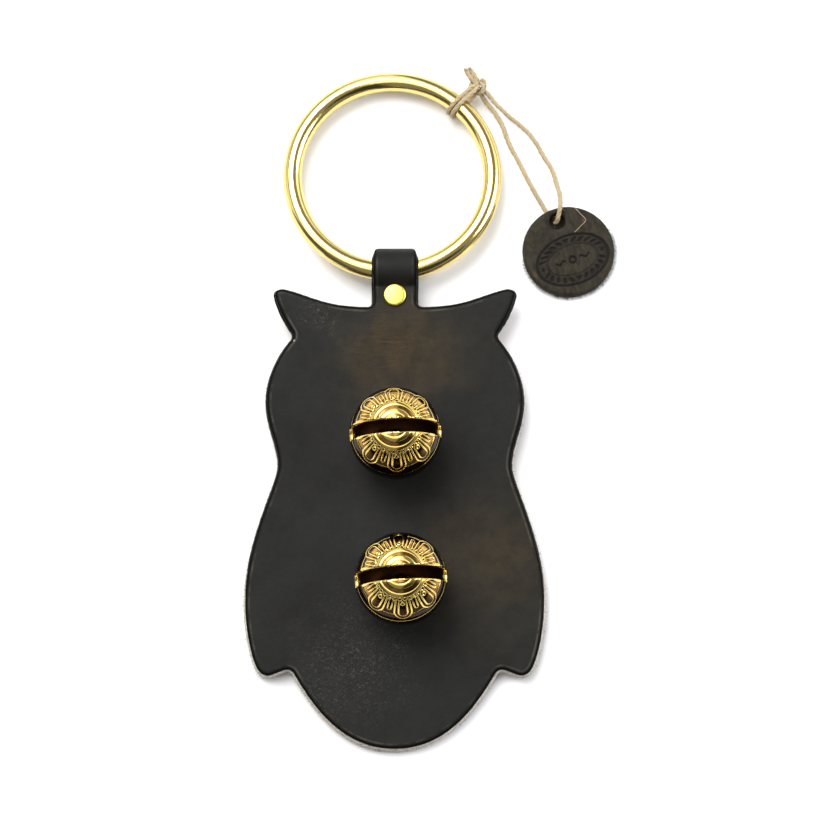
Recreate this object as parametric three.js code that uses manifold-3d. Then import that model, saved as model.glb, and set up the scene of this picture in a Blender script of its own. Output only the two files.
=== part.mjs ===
// Owl-shaped leather door hanger with two brass sleigh bells, a door ring and a hang tag.
// Millimetres, +Z up. The hanger lies on its back: +Y points to the ring, +X to the tag's side.
// The origin is under the middle of the hanger and its ring, on the surface that they lie on.
import * as THREE from 'three';
import { mergeVertices } from 'three/addons/utils/BufferGeometryUtils.js';
import Module from 'manifold-3d';

const wasm = await Module();
wasm.setup();

// ---- driving dimensions ----
const GAP = 0.3;                     // clearance between pieces that touch

const LEATHER = 4.2;                 // thickness of the hanger's leather
const EDGE_BEVEL = 0.9;              // how far its cut edges are rounded over
const STRAP_WIDTH = 19.4;            // neck strap that folds over the ring
const TAB_END_Y = 34;                // where the folded strap ends, behind the plate

const WIRE_R = 3.97;                 // door ring: 5/16 in wire
const RING_R = 42.07;                // its centreline: 3 in inside
const RING_OFFSET_X = -1.2;          // the ring rests a little off centre in the fold
const FOLD_Y = 57.5;                 // hinge line of the ring in the fold, in the plate's frame
const FOLD_Z = -GAP / 2;             // level with the seam between the strap's two layers
const FOLD_INNER_R = 5.0;
const FOLD_OUTER_R = FOLD_INNER_R + LEATHER;
// the wire curves within the strap's width, so the hinge line lies halfway into that curve
const WIRE_SAG = RING_R - Math.sqrt(RING_R ** 2 - (STRAP_WIDTH / 2) ** 2);
const RING_CENTRE = RING_R - WIRE_SAG / 2;

const RIVET_Y = 45.9;
const RIVET_CAP_R = 4.6;
const RIVET_POST_R = 1.6;

const BELL_R = 19;                   // 1 1/2 in bell
const BELL_WALL = 2.3;
const BELL_FOOT_R = 6.5;
const BELL_FOOT_H = 2.5;
const SLOT_W = 5.5;
const SLOT_END_R = 3.1;              // round hole that ends the slot on each side
const SLOT_END_Z = 1.0;              // its centre, above the bell's middle
const CLAPPER_R = 4.5;

const SCREW_R = 1.9;
const SCREW_HEAD_R = 3.8;
const SCREW_HEAD_H = 2.4;
const SCREW_DEPTH = 3.5;             // how far it goes into the bell's foot
const WASHER_R = 6;
const WASHER_H = 1.2;

// places of the two bells on the plate, and how far each slot is turned from the X axis
const BELLS = [
  { name: 'upper', x: 0.4, y: -17.2, turn: THREE.MathUtils.degToRad(2.4) },
  { name: 'lower', x: 2.7, y: -77.5, turn: THREE.MathUtils.degToRad(3.5) },
];

const CORD_R = 0.95;                 // jute cord
const TIE_ANGLE = THREE.MathUtils.degToRad(48);  // where the cord is tied, round the ring from +X
const KNOT_R = 3.4;
const KNOT_REACH = 12.2;             // from the wire's centreline out to the middle of the knot

const TAG_R = 19.4;
const TAG_T = 3.4;
const TAG_CENTRE = new THREE.Vector2(72.8, 67.4);
const TAG_HOLE = new THREE.Vector2(68.1, 80.1);
const TAG_HOLE_R = 3.2;
const TAG_TILT = THREE.MathUtils.degToRad(4.2);  // its holed edge rides up on the cord beneath it

// ---- resting position ----
// The plate rests on the fold of its strap and on the lower screw's head, so its top end is raised.
const STACK_H = 2 * GAP + WASHER_H + SCREW_HEAD_H;   // from the plate's back to the screw's underside
const REST_Y = BELLS[1].y - SCREW_HEAD_R;
const PLATE_TILT = Math.asin((FOLD_OUTER_R - FOLD_Z - STACK_H) / (FOLD_Y - REST_Y));
const PLATE_LIFT = STACK_H * Math.cos(PLATE_TILT) - REST_Y * Math.sin(PLATE_TILT);
// The ring's far side rests on the cord wrapped round it, so it droops from the fold.
const WRAP_T = 2 * CORD_R;
const TIE_REACH = RING_CENTRE + RING_R * Math.sin(TIE_ANGLE);
const RING_DROOP = Math.asin((FOLD_OUTER_R - (WIRE_R + 2 * GAP + WRAP_T)) / TIE_REACH);

const blackLeather = () => new THREE.MeshStandardMaterial({ color: 0x34322e, roughness: 0.55 });
const brass = () => new THREE.MeshStandardMaterial({ color: 0xd9b35a, roughness: 0.18, metalness: 1 });
const steel = () => new THREE.MeshStandardMaterial({ color: 0x8e9094, roughness: 0.3, metalness: 1 });
const jute = () => new THREE.MeshStandardMaterial({ color: 0xbea57d, roughness: 0.95 });

// ---- helpers ----
function solidOf(geometry) {
  const bare = geometry.clone();
  bare.deleteAttribute('normal');
  bare.deleteAttribute('uv');
  const merged = mergeVertices(bare, 1e-4);
  return new wasm.Manifold(new wasm.Mesh({
    numProp: 3,
    vertProperties: new Float32Array(merged.attributes.position.array),
    triVerts: new Uint32Array(merged.index.array),
  }));
}

function geometryOf(solid) {
  const mesh = solid.getMesh();
  const geometry = new THREE.BufferGeometry();
  geometry.setAttribute('position', new THREE.BufferAttribute(mesh.vertProperties, 3));
  geometry.setIndex(new THREE.BufferAttribute(mesh.triVerts, 1));
  geometry.computeVertexNormals();
  return geometry;
}

function addMesh(parent, name, geometry, material) {
  const mesh = new THREE.Mesh(geometry, material);
  mesh.name = name;
  parent.add(mesh);
  return mesh;
}

// A solid of revolution about the Z axis from [radius, z] pairs.
function turned(profile, segments) {
  const points = profile.map(([r, z]) => new THREE.Vector2(r, z));
  return new THREE.LatheGeometry(points, segments).rotateX(Math.PI / 2);
}

function rod(radius, z0, z1, segments = 20) {
  return new THREE.CylinderGeometry(radius, radius, z1 - z0, segments)
    .rotateX(Math.PI / 2)
    .translate(0, 0, (z0 + z1) / 2);
}

// An outline in the YZ plane, [y, z], extruded along X and centred on x = 0.
function acrossX(shape, width, curveSegments = 10) {
  const geometry = new THREE.ExtrudeGeometry(shape, { depth: width, bevelEnabled: false, curveSegments });
  return geometry.translate(0, 0, -width / 2).applyMatrix4(new THREE.Matrix4().makeBasis(
    new THREE.Vector3(0, 1, 0), new THREE.Vector3(0, 0, 1), new THREE.Vector3(1, 0, 0)));
}

// ---- leather hanger: owl plate and strap, one piece of leather ----
// Right half of the owl, from the neck down to the tail, as drawing commands in x and y.
const OWL_HALF = [
  ['line', 9.7, 44.8],
  ['quad', 9.9, 41.6, 13.5, 41.5],                          // neck into the top of the head
  ['cubic', 30, 42.2, 33, 45.8, 45.8, 49.3],                // rise to the ear
  ['cubic', 48.9, 49.9, 51.6, 48.2, 50.8, 45.6],            // ear's tip
  ['cubic', 49.9, 41.8, 47.9, 36.9, 43.5, 29.8],            // ear's outer side
  ['quad', 42.9, 28.6, 43.7, 27.6],                         // notch under the ear
  ['cubic', 49.5, 20.7, 54.1, 11, 54.1, 1],                 // head
  ['cubic', 54.1, -9.5, 48.9, -17.8, 48.9, -26.2],          // in to the waist
  ['cubic', 48.9, -33.4, 62.4, -57.6, 62.4, -83.4],         // wing
  ['cubic', 62.4, -95.6, 59.2, -109.4, 56.3, -112.6],
  ['cubic', 54.9, -114.4, 52.4, -115.3, 50.2, -114.4],      // wing's tip
  ['line', 45.2, -112.5],
  ['quad', 43.3, -111.8, 42.2, -113.3],                     // notch above the tail
  ['cubic', 34.4, -126.4, 22.5, -144.9, 0, -144.9],         // tail
];

function owlShape() {
  const half = new THREE.Path();
  half.moveTo(STRAP_WIDTH / 2, RIVET_Y);
  for (const [kind, ...at] of OWL_HALF) {
    if (kind === 'line') half.lineTo(...at);
    if (kind === 'quad') half.quadraticCurveTo(...at);
    if (kind === 'cubic') half.bezierCurveTo(...at);
  }
  const right = half.getPoints(7);
  const left = right.slice(0, -1).reverse().map((p) => new THREE.Vector2(-p.x, p.y));
  return new THREE.Shape([...right, ...left]);
}

// Side profile of the strap, [y, z]: from the plate, over the ring, and back behind the plate.
function strapShape() {
  const seam = GAP / 2;
  const crest = FOLD_OUTER_R;
  const inner = FOLD_INNER_R;
  const shape = new THREE.Shape();
  shape.moveTo(RIVET_Y - 4, LEATHER);
  shape.lineTo(50.6, LEATHER);
  shape.bezierCurveTo(52.4, LEATHER, 51.6, FOLD_Z + crest, FOLD_Y, FOLD_Z + crest);
  shape.absarc(FOLD_Y, FOLD_Z, crest, Math.PI / 2, -Math.PI / 2, true);
  shape.bezierCurveTo(51.6, FOLD_Z - crest, 52.4, -GAP - LEATHER, 50.6, -GAP - LEATHER);
  shape.lineTo(TAB_END_Y, -GAP - LEATHER);
  shape.lineTo(TAB_END_Y, -GAP);
  shape.lineTo(50.4, FOLD_Z - seam);
  shape.bezierCurveTo(52.2, FOLD_Z - seam, 52.7, FOLD_Z - inner, FOLD_Y, FOLD_Z - inner);
  shape.absarc(FOLD_Y, FOLD_Z, inner, -Math.PI / 2, Math.PI / 2, false);
  shape.bezierCurveTo(52.7, FOLD_Z + inner, 52.2, FOLD_Z + seam, 50.4, FOLD_Z + seam);
  shape.lineTo(RIVET_Y - 4, 0);
  return shape;
}

function leatherHanger() {
  const plate = solidOf(new THREE.ExtrudeGeometry(owlShape(), {
    depth: LEATHER - 2 * EDGE_BEVEL,
    bevelSize: EDGE_BEVEL,
    bevelThickness: EDGE_BEVEL,
    bevelOffset: -EDGE_BEVEL,
    bevelSegments: 1,
  }).translate(0, 0, EDGE_BEVEL));
  const strap = solidOf(acrossX(strapShape(), STRAP_WIDTH));
  const rivetHole = solidOf(rod(RIVET_POST_R + GAP, -20, 20).translate(0, RIVET_Y, 0));
  const screwHoles = BELLS.map((b) => solidOf(rod(SCREW_R + GAP, -20, 20).translate(b.x, b.y, 0)));
  return geometryOf(screwHoles.reduce((s, hole) => s.subtract(hole), plate.add(strap).subtract(rivetHole)));
}

// ---- double-cap rivet ----
const RIVET_HEAD_T = 1.0;
const RIVET_SOCKET_Z = LEATHER + GAP + 0.9;
const RIVET_DOME_H = 1.7;

function rivetCap() {
  const z = LEATHER + GAP;
  const profile = [
    [0, RIVET_SOCKET_Z], [RIVET_POST_R + GAP, RIVET_SOCKET_Z], [RIVET_POST_R + GAP, z],
    [RIVET_CAP_R - 0.3, z], [RIVET_CAP_R, z + 0.35], [RIVET_CAP_R - 0.25, z + 0.8],
    [RIVET_CAP_R * 0.72, z + RIVET_DOME_H * 0.82], [RIVET_CAP_R * 0.36, z + RIVET_DOME_H * 0.97],
    [0, z + RIVET_DOME_H],
  ];
  return turned(profile, 28);
}

function rivetPost() {
  const back = -2 * GAP - LEATHER;
  const profile = [
    [0, back - RIVET_HEAD_T], [RIVET_CAP_R * 0.6, back - RIVET_HEAD_T],
    [RIVET_CAP_R * 0.95, back - RIVET_HEAD_T * 0.5], [RIVET_CAP_R * 0.95, back],
    [RIVET_POST_R, back], [RIVET_POST_R, RIVET_SOCKET_Z - GAP], [0, RIVET_SOCKET_Z - GAP],
  ];
  return turned(profile, 28);
}

// ---- bell, its clapper, screw and washer, each with z = 0 at the plate's back ----
const BELL_BASE_Z = LEATHER + GAP;
const BELL_Z = BELL_BASE_Z + BELL_FOOT_H + BELL_R;
const CLAPPER_DROP = BELL_R - BELL_WALL - CLAPPER_R - GAP;

function bellShell() {
  const foot = Math.asin(BELL_FOOT_R * 0.8 / BELL_R);
  const profile = [[0, BELL_BASE_Z], [BELL_FOOT_R, BELL_BASE_Z], [BELL_FOOT_R, BELL_BASE_Z + 1]];
  const steps = 13;
  for (let i = 0; i <= steps; i += 1) {
    const angle = foot + (Math.PI - foot) * i / steps;
    profile.push([i < steps ? BELL_R * Math.sin(angle) : 0, BELL_Z - BELL_R * Math.cos(angle)]);
  }
  const outside = solidOf(turned(profile, 36));
  const hollow = solidOf(new THREE.SphereGeometry(BELL_R - BELL_WALL, 26, 13)
    .rotateX(Math.PI / 2).translate(0, 0, BELL_Z));
  const slot = new THREE.Shape();
  const neck = Math.acos(SLOT_W / 2 / SLOT_END_R);
  slot.moveTo(SLOT_W / 2, BELL_R + 1);
  slot.lineTo(-SLOT_W / 2, BELL_R + 1);
  slot.absarc(0, SLOT_END_Z, SLOT_END_R, Math.PI - neck, neck, false);
  const cutter = solidOf(acrossX(slot, 3 * BELL_R, 8).translate(0, 0, BELL_Z));
  const thread = solidOf(rod(SCREW_R + GAP, 0, BELL_BASE_Z + SCREW_DEPTH + GAP, 16));
  return geometryOf(outside.subtract(hollow).subtract(cutter).subtract(thread));
}

function clapper() {
  return new THREE.SphereGeometry(CLAPPER_R, 16, 10).translate(0, 0, BELL_Z - CLAPPER_DROP);
}

function screw() {
  const top = -2 * GAP - WASHER_H;
  const profile = [
    [0, top - SCREW_HEAD_H], [SCREW_HEAD_R - 0.7, top - SCREW_HEAD_H],
    [SCREW_HEAD_R, top - SCREW_HEAD_H + 0.7], [SCREW_HEAD_R, top],
    [SCREW_R, top], [SCREW_R, BELL_BASE_Z + SCREW_DEPTH], [0, BELL_BASE_Z + SCREW_DEPTH],
  ];
  const armLength = 4.2;
  const armWidth = 1.1;
  const recessDepth = 1.3;
  const arm = new THREE.BoxGeometry(armLength, armWidth, 2 * recessDepth)
    .translate(0, 0, top - SCREW_HEAD_H);
  const cross = solidOf(arm).add(solidOf(arm.clone().rotateZ(Math.PI / 2)));
  return geometryOf(solidOf(turned(profile, 24)).subtract(cross));
}

function washer() {
  const hole = SCREW_R + GAP;
  const profile = [
    [hole, -GAP - WASHER_H], [WASHER_R, -GAP - WASHER_H], [WASHER_R, -GAP], [hole, -GAP],
    [hole, -GAP - WASHER_H],
  ];
  return turned(profile, 28);
}

// ---- cord wrapped round the ring, with its knot; +X runs out from the wire to the knot ----
function cordKnot() {
  const inner = WIRE_R + GAP;
  const outer = inner + WRAP_T;
  const apex = KNOT_REACH - KNOT_R * 0.4;
  const lean = Math.acos(outer / (apex + outer * 0.2));
  const loop = new THREE.Shape();
  loop.moveTo(apex, -0.9);
  loop.lineTo(apex, 0.9);
  loop.absarc(0, 0, outer, lean, -lean, false);
  const eye = new THREE.Path();
  eye.absarc(0, 0, inner, 0, 2 * Math.PI, true);
  loop.holes.push(eye);
  const width = 2 * WRAP_T;
  const band = new THREE.ExtrudeGeometry(loop, { depth: width, bevelEnabled: false, curveSegments: 10 })
    .translate(0, 0, -width / 2).rotateX(Math.PI / 2);
  const ball = new THREE.SphereGeometry(KNOT_R, 16, 10).rotateX(Math.PI / 2).translate(KNOT_REACH, 0, 0);
  const tails = [[8.6, 5.4], [6.9, 8.1]].map(([out, along]) => {
    const from = new THREE.Vector3(KNOT_REACH, 0, 0);
    const to = new THREE.Vector3(KNOT_REACH + out * 0.55, along, 0.8);
    const path = new THREE.LineCurve3(from, to);
    const section = new THREE.Shape().absarc(0, 0, CORD_R, 0, 2 * Math.PI);
    return new THREE.ExtrudeGeometry(section, { steps: 1, extrudePath: path, curveSegments: 4 });
  });
  return geometryOf([ball, ...tails].reduce((s, g) => s.add(solidOf(g)), solidOf(band)));
}

// ---- cord between the knot and the tag ----
// Out of the knot, down through the tag's hole from the front, and back under the tag's edge.
const CORD_ROUTE = [
  [39.5, 135.6, 5.0], [42.6, 132.0, 4.2], [48.8, 126.2, 3.2], [53.2, 122.6, 2.8], [56.8, 119.0, 2.6],
  [60.0, 114.4, 2.4], [62.6, 109.5, 2.4], [66.0, 103.6, 3.0], [68.1, 96.2, 4.4], [69.4, 90.6, 6.4],
  [69.4, 86.4, 7.6], [68.9, 83.0, 7.4], [68.2, 80.6, 5.6], [67.7, 79.9, 3.6], [66.7, 81.0, 1.4],
  [64.9, 83.4, 0.98], [61.2, 89.7, 0.98], [57.6, 96.2, 1.1], [51.8, 108.0, 1.3], [48.9, 113.6, 1.4],
  [47.0, 118.2, 1.5], [45.4, 122.8, 1.7], [42.2, 128.4, 2.2], [38.0, 133.6, 2.9],
];

function tagCord() {
  const path = new THREE.CatmullRomCurve3(CORD_ROUTE.map((p) => new THREE.Vector3(...p)));
  const section = new THREE.Shape().absarc(0, 0, CORD_R, 0, 2 * Math.PI);
  return new THREE.ExtrudeGeometry(section, { steps: 78, extrudePath: path, curveSegments: 4 });
}

// ---- hang tag, with z = 0 at its underside and +Y towards its hole ----
function hangTag() {
  const holeReach = TAG_HOLE.distanceTo(TAG_CENTRE);
  const disc = new THREE.Shape().absarc(0, 0, TAG_R, 0, 2 * Math.PI);
  const hole = new THREE.Path().absarc(0, holeReach, TAG_HOLE_R, 0, 2 * Math.PI, true);
  disc.holes.push(hole);
  const bevel = 0.5;
  return new THREE.ExtrudeGeometry(disc, {
    depth: TAG_T - 2 * bevel,
    bevelSize: bevel,
    bevelThickness: bevel,
    bevelOffset: -bevel,
    bevelSegments: 1,
    curveSegments: 20,
  }).translate(0, 0, bevel);
}

// ---- assembly ----
const object = new THREE.Group();

const plate = new THREE.Group();
plate.rotation.x = PLATE_TILT;
plate.position.z = PLATE_LIFT;
object.add(plate);
addMesh(plate, 'leather_hanger', leatherHanger(), blackLeather());
addMesh(plate, 'rivet_cap', rivetCap(), brass()).position.y = RIVET_Y;
addMesh(plate, 'rivet_post', rivetPost(), brass()).position.y = RIVET_Y;
for (const { name, x, y, turn } of BELLS) {
  const station = new THREE.Group();
  station.position.set(x, y, 0);
  station.rotation.z = turn;
  plate.add(station);
  addMesh(station, `${name}_bell`, bellShell(), brass());
  addMesh(station, `${name}_clapper`, clapper(), steel());
  addMesh(station, `${name}_screw`, screw(), steel());
  addMesh(station, `${name}_washer`, washer(), steel());
}

const ring = new THREE.Group();
ring.position.set(0, FOLD_Y, FOLD_Z).applyAxisAngle(new THREE.Vector3(1, 0, 0), PLATE_TILT);
ring.position.z += PLATE_LIFT;
ring.rotation.x = -RING_DROOP;
object.add(ring);
addMesh(ring, 'door_ring', new THREE.TorusGeometry(RING_R, WIRE_R, 12, 72), brass())
  .position.set(RING_OFFSET_X, RING_CENTRE, 0);

const tie = new THREE.Group();
tie.position.set(RING_OFFSET_X, RING_CENTRE, 0);
tie.rotation.z = TIE_ANGLE;
ring.add(tie);
addMesh(tie, 'cord_knot', cordKnot(), jute()).position.x = RING_R;

addMesh(object, 'tag_cord', tagCord(), jute());

const tag = addMesh(object, 'hang_tag', hangTag(), blackLeather());
const holeDirection = TAG_HOLE.clone().sub(TAG_CENTRE).angle() - Math.PI / 2;
tag.rotation.set(TAG_TILT, 0, holeDirection, 'ZXY');
tag.position.set(TAG_CENTRE.x, TAG_CENTRE.y, TAG_R * Math.sin(TAG_TILT));

export default object;
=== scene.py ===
"""Owl-shaped leather door hanger with two brass sleigh bells, a door ring and a hang tag.

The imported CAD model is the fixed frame. This script builds the pieces that show around it, in
millimetres in the same local frames as the CAD (the plate's, the ring's, the tie's and the tag's),
and moves them into the row frame in metres.
"""
from math import acos, asin, atan2, cos, pi, radians, sin

import bpy
import numpy as np
from mathutils import Matrix, Vector, geometry, noise

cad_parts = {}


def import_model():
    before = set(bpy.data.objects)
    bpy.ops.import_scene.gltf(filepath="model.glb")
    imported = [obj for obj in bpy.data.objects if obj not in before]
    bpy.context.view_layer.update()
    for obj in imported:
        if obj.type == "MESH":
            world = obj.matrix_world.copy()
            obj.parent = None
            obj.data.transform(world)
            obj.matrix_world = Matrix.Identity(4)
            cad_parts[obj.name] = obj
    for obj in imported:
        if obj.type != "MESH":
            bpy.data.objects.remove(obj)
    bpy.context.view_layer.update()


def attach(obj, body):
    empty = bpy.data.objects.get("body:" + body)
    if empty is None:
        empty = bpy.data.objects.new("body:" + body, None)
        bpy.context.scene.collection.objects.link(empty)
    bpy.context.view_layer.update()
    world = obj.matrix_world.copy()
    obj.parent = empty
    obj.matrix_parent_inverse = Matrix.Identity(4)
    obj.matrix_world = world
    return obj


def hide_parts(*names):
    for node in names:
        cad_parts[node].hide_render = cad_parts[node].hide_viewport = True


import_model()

MM = 0.001
rng = np.random.default_rng(11)

# ---- dimensions shared with the CAD, in millimetres ----
LEATHER = 4.2
STRAP_WIDTH = 19.4
TAB_END_Y = 34.0
FOLD_Y = 57.5
FOLD_Z = -0.15
FOLD_MID_R = 7.1  # middle of the leather where it goes round the ring
WIRE_R = 3.97
RING_R = 42.07
RING_OFFSET_X = -1.2
RING_CENTRE = 41.503  # from the fold's hinge line to the ring's centre
RIVET_Y = 45.9
RIVET_CAP_R = 4.6
BELL_R = 19.0
BELL_WALL = 2.3
BELL_FOOT_R = 6.5
BELL_Z = 26.0  # middle of the bell above the plate's back
SLOT_HALF = 2.75
SLOT_END_R = 3.1
SLOT_END_Z = 1.0
CLAPPER_R = 4.5
CLAPPER_Z = BELL_Z - (BELL_R - BELL_WALL - CLAPPER_R - 0.3)
SCREW_TOP = -1.8  # underside of the screw's head, above the washer
WASHER_TOP = -0.3
CORD_R = 0.95
KNOT_REACH = 12.2
TAG_R = 19.4
TAG_T = 3.4
TAG_HOLE_R = 3.2
BELLS = {"upper": (0.4, -17.2, radians(2.4)), "lower": (2.7, -77.5, radians(3.5))}

PLATE_TILT = radians(2.126376)
PLATE_LIFT = 7.213643
RING_DROOP = radians(2.150061)
TIE_ANGLE = radians(48)
TAG_TILT = radians(4.2)
TAG_CENTRE = (72.8, 67.4)
TAG_HOLE = (68.1, 80.1)

# from inside the knot, down through the tag's hole and back along the floor into the knot
CORD_ROUTE = MM * np.array([
    (36.4, 138.4, 6.4),
    (39.5, 135.6, 5.0), (42.6, 132.0, 4.2), (48.8, 126.2, 3.2), (53.2, 122.6, 2.8), (56.8, 119.0, 2.6),
    (60.0, 114.4, 2.4), (62.6, 109.5, 2.4), (66.0, 103.6, 3.0), (68.1, 96.2, 4.4), (69.4, 90.6, 6.4),
    (69.4, 86.4, 7.6), (68.9, 83.0, 7.4), (68.2, 80.6, 5.6), (67.7, 79.9, 3.6), (66.7, 81.0, 1.4),
    (64.9, 83.4, 0.98), (61.2, 89.7, 0.98), (57.6, 96.2, 1.1), (51.8, 108.0, 1.3), (48.9, 113.6, 1.4),
    (47.0, 118.2, 1.5), (45.4, 122.8, 1.7), (42.2, 128.4, 2.2), (38.0, 133.6, 2.9),
    (35.6, 137.2, 5.2),
])


def shift(by):
    return Matrix.Translation(by)


def spin(angle, axis):
    return Matrix.Rotation(angle, 4, axis)


# ---- local frames, as matrices from millimetres to metres in the row frame ----
TO_METRES = Matrix.Scale(MM, 4)
PLATE = TO_METRES @ shift((0, 0, PLATE_LIFT)) @ spin(PLATE_TILT, "X")
HINGE = spin(PLATE_TILT, "X") @ Vector((0, FOLD_Y, FOLD_Z)) + Vector((0, 0, PLATE_LIFT))
RING = TO_METRES @ shift(HINGE) @ spin(-RING_DROOP, "X") @ shift((RING_OFFSET_X, RING_CENTRE, 0))
TIE = RING @ spin(TIE_ANGLE, "Z") @ shift((RING_R, 0, 0))
HOLE_OFFSET = Vector(TAG_HOLE) - Vector(TAG_CENTRE)
TAG = (TO_METRES @ shift((*TAG_CENTRE, TAG_R * sin(TAG_TILT)))
       @ spin(atan2(HOLE_OFFSET.y, HOLE_OFFSET.x) - pi / 2, "Z") @ spin(TAG_TILT, "X"))


def bell_frame(name):
    """The frame of a bell: its axis is Z, and Z = 0 is the plate's back."""
    x, y, turn = BELLS[name]
    return PLATE @ shift((x, y, 0)) @ spin(turn, "Z")


# ---- camera ----
VIEW_TILT = radians(13.35)
VIEW_DISTANCE = 1.8
VIEW_CENTRE = Vector((0.01043, -0.00731, 0.011))
LENS = 186
camera = bpy.data.objects.new("camera", bpy.data.cameras.new("camera"))
bpy.context.collection.objects.link(camera)
ahead = Vector((0, sin(VIEW_TILT), -cos(VIEW_TILT)))
camera.location = VIEW_CENTRE - VIEW_DISTANCE * ahead
camera.rotation_euler = ahead.to_track_quat("-Z", "Y").to_euler()
camera.data.lens = LENS
camera.data.clip_start = 0.05
bpy.context.scene.camera = camera


# ---- lines and outlines ----
def units(rows):
    """The rows of an array scaled to length 1."""
    return rows / np.linalg.norm(rows, axis=1)[:, None]


def steps_of(line):
    return np.linalg.norm(np.diff(line, axis=0), axis=1)


def run_of(line):
    """How far along a polyline each of its points is."""
    return np.concatenate([[0], np.cumsum(steps_of(line))])


def round_angles(count):
    return np.arange(count) * 2 * pi / count


def circle(radius, angles):
    return np.stack([radius * np.cos(angles), radius * np.sin(angles)], 1)


def at_height(flat, z):
    return np.column_stack([flat, np.full(len(flat), z)])


# ---- mesh helpers ----
def moved(points, matrix):
    """Points, one in each row, put through a 4 x 4 matrix."""
    a = np.array(matrix, float)
    return np.asarray(points, float) @ a[:3, :3].T + a[:3, 3]


def add_mesh(name, points, faces, material, matrix=TO_METRES, smooth=True):
    mesh = bpy.data.meshes.new(name)
    mesh.from_pydata(moved(points, matrix).tolist(), [], [tuple(f) for f in faces])
    mesh.update()
    mesh.polygons.foreach_set("use_smooth", [smooth] * len(mesh.polygons))
    mesh.materials.append(material)
    obj = bpy.data.objects.new(name, mesh)
    bpy.context.collection.objects.link(obj)
    return obj


def set_values(obj, **named):
    """Numbers or vectors, one for each vertex, which the materials read by name."""
    for name, values in named.items():
        values = np.asarray(values, np.float32)
        kind, field = ("FLOAT_VECTOR", "vector") if values.ndim == 2 else ("FLOAT", "value")
        obj.data.attributes.new(name, kind, "POINT").data.foreach_set(field, values.ravel())


def place(obj, body, slot, *nodes):
    """Lets a finished piece ride on its body in place of its CAD nodes; slot is not used."""
    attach(obj, body)
    if nodes:
        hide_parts(*nodes)


class Builder:
    """Gathers points and faces of several shapes into one mesh."""

    def __init__(self):
        self.points, self.faces, self.count = [], [], 0

    def add(self, points, faces):
        self.points.append(np.asarray(points, float))
        self.faces.extend(tuple(int(i) + self.count for i in f) for f in faces)
        self.count += len(points)
        return self

    def all_points(self):
        return np.concatenate(self.points)


def flipped(faces):
    return [tuple(reversed(f)) for f in faces]


def renumbered(faces, *blocks):
    """Faces over a few groups of points, numbered as (first, count) blocks of a larger piece."""
    ids = np.concatenate([first + np.arange(count) for first, count in blocks])
    return [tuple(ids[list(f)].tolist()) for f in faces]


def ring_faces(rings, sides, closed_rings=False):
    """Quads between successive rings of the same number of points."""
    faces = []
    for i in range(rings if closed_rings else rings - 1):
        a, b = i * sides, (i + 1) % rings * sides
        for j in range(sides):
            k = (j + 1) % sides
            faces.append((a + j, a + k, b + k, b + j))
    return faces


def rings_about_z(profile, sides):
    """A ring of points about Z for each (radius, z) pair."""
    return [at_height(circle(r, round_angles(sides)), z) for r, z in profile]


def turned(profile, sides):
    """A closed solid of revolution about Z from (radius, z) pairs that start and end on the axis."""
    inner = profile[1:-1]
    points = np.concatenate([*rings_about_z(inner, sides), [[0, 0, profile[0][1]], [0, 0, profile[-1][1]]]])
    faces = ring_faces(len(inner), sides)
    first, last = len(points) - 2, len(points) - 1
    top = (len(inner) - 1) * sides
    for j in range(sides):
        k = (j + 1) % sides
        faces.append((first, k, j))
        faces.append((last, top + j, top + k))
    return points, faces


def turned_piece(name, profile, sides, material, matrix=TO_METRES):
    return add_mesh(name, *turned(profile, sides), material, matrix)


def smoothed(path, step):
    """Points about step apart along a centripetal Catmull-Rom curve through the path."""
    path = np.asarray(path, float)
    p = np.concatenate([[2 * path[0] - path[1]], path, [2 * path[-1] - path[-2]]])
    out = []
    for corners in zip(p, p[1:], p[2:], p[3:]):
        knots = [0.0]
        for a, b in zip(corners, corners[1:]):
            knots.append(knots[-1] + np.linalg.norm(b - a) ** 0.5)
        for t in np.linspace(knots[1], knots[2], 24, endpoint=False):
            level = corners
            # Barry and Goldman's pyramid: each level blends neighbours over a span of knots
            for lows, highs in ((knots[:3], knots[1:]), (knots[:2], knots[2:]), (knots[1:2], knots[2:3])):
                level = [(high - t) / (high - low) * q + (t - low) / (high - low) * r
                         for low, high, q, r in zip(lows, highs, level, level[1:])]
            out.append(level[0])
    out.append(path[-1])
    return spaced(np.array(out), step)


def spaced(line, step):
    """Points evenly spaced along a polyline, about step apart."""
    along = run_of(line)
    at = np.linspace(0, along[-1], max(3, round(along[-1] / step) + 1))
    return np.stack([np.interp(at, along, line[:, k]) for k in range(line.shape[1])], 1)


def frames_along(line):
    """Two sideways directions at each point of a line, turning as little as they can."""
    tangent = units(np.gradient(line, axis=0))
    start = np.cross(tangent[0], (0, 0, 1) if abs(tangent[0][2]) < 0.9 else (1, 0, 0))
    side = [start / np.linalg.norm(start)]
    for t in tangent[1:]:
        s = side[-1] - t * (side[-1] @ t)
        side.append(s / np.linalg.norm(s))
    side = np.array(side)
    return side, np.cross(tangent, side)


def tube(line, radius, sides):
    """A round tube with closed ends; radius is a number or one for each point."""
    u, v = frames_along(line)
    radius = np.broadcast_to(radius, len(line))
    angle = round_angles(sides)
    points = (line[:, None] + radius[:, None, None]
              * (np.cos(angle)[None, :, None] * u[:, None] + np.sin(angle)[None, :, None] * v[:, None]))
    n = len(line)
    faces = ring_faces(n, sides)
    faces.append(tuple(reversed(range(sides))))
    faces.append(tuple(range((n - 1) * sides, n * sides)))
    return points.reshape(-1, 3), faces


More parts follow.
